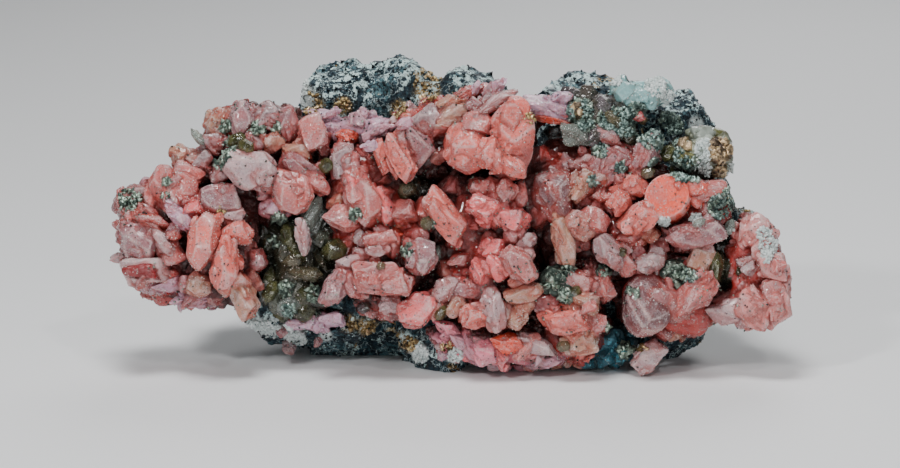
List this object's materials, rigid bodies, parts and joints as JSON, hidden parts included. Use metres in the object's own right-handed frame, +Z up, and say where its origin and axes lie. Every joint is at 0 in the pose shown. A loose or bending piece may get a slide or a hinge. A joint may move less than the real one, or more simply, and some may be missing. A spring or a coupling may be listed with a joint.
{
  "type": "rhodochrosite specimen",
  "caption": "Cabinet-size mineral specimen: pink lens and block shaped rhodochrosite crystals with smoky quartz on dark sulphide rock; a display piece that stands on its sawn-flat underside.",
  "frame": {"origin": "middle of the specimen's box, on the flat underside that it rests on", "axes": "+Z up, +X along the specimen to the right of a viewer who faces the crystals, -Y out of the crystal-covered face"},
  "size_m": [0.1208, 0.0508, 0.0538],
  "materials": {
    "rhodochrosite": "translucent, vitreous, striated",
    "rhodochrosite_pale": "translucent, frosted",
    "rhodochrosite_lilac": "finely broken, sparkling",
    "quartz_smoky": "clear, vitreous",
    "quartz_milky": "milky, vitreous",
    "tetrahedrite": "bright metallic",
    "pyrite": "tarnished metallic",
    "sphalerite": "resinous, glossy",
    "sulphide_rock": "rough, with pale crusts"
  },
  "bodies": {
    "root": {"rhodochrosite_left_end": "rhodochrosite", "rhodochrosite_top_middle": "rhodochrosite", "rhodochrosite_right_end": "rhodochrosite", "tetrahedrite_low": "tetrahedrite", "tetrahedrite_right": "tetrahedrite", "rhodochrosite_shield": "rhodochrosite", "rhodochrosite_middle_left": "rhodochrosite", "rhodochrosite_upper_left": "rhodochrosite", "rhodochrosite_middle": "rhodochrosite", "rhodochrosite_discs": "rhodochrosite", "rhodochrosite_right_bank": "rhodochrosite", "rhodochrosite_lower_right": "rhodochrosite", "rhodochrosite_lower_edge": "rhodochrosite_lilac", "rhodochrosite_foot_block": "rhodochrosite_pale", "rhodochrosite_pocket_lens": "rhodochrosite_pale", "lilac_crust_left": "rhodochrosite_lilac", "lilac_crust_right": "rhodochrosite_lilac", "lilac_crust_low": "rhodochrosite_lilac", "quartz_pocket": "quartz_smoky", "quartz_middle": "quartz_smoky", "quartz_upper_right": "quartz_smoky", "quartz_pale": "quartz_milky", "pyrite_shoulder": "pyrite", "quartz_right": "quartz_milky", "quartz_lower_right": "quartz_smoky", "blue_sphalerite": "sphalerite", "matrix_rock": "sulphide_rock"}
  },
  "joints": []
}
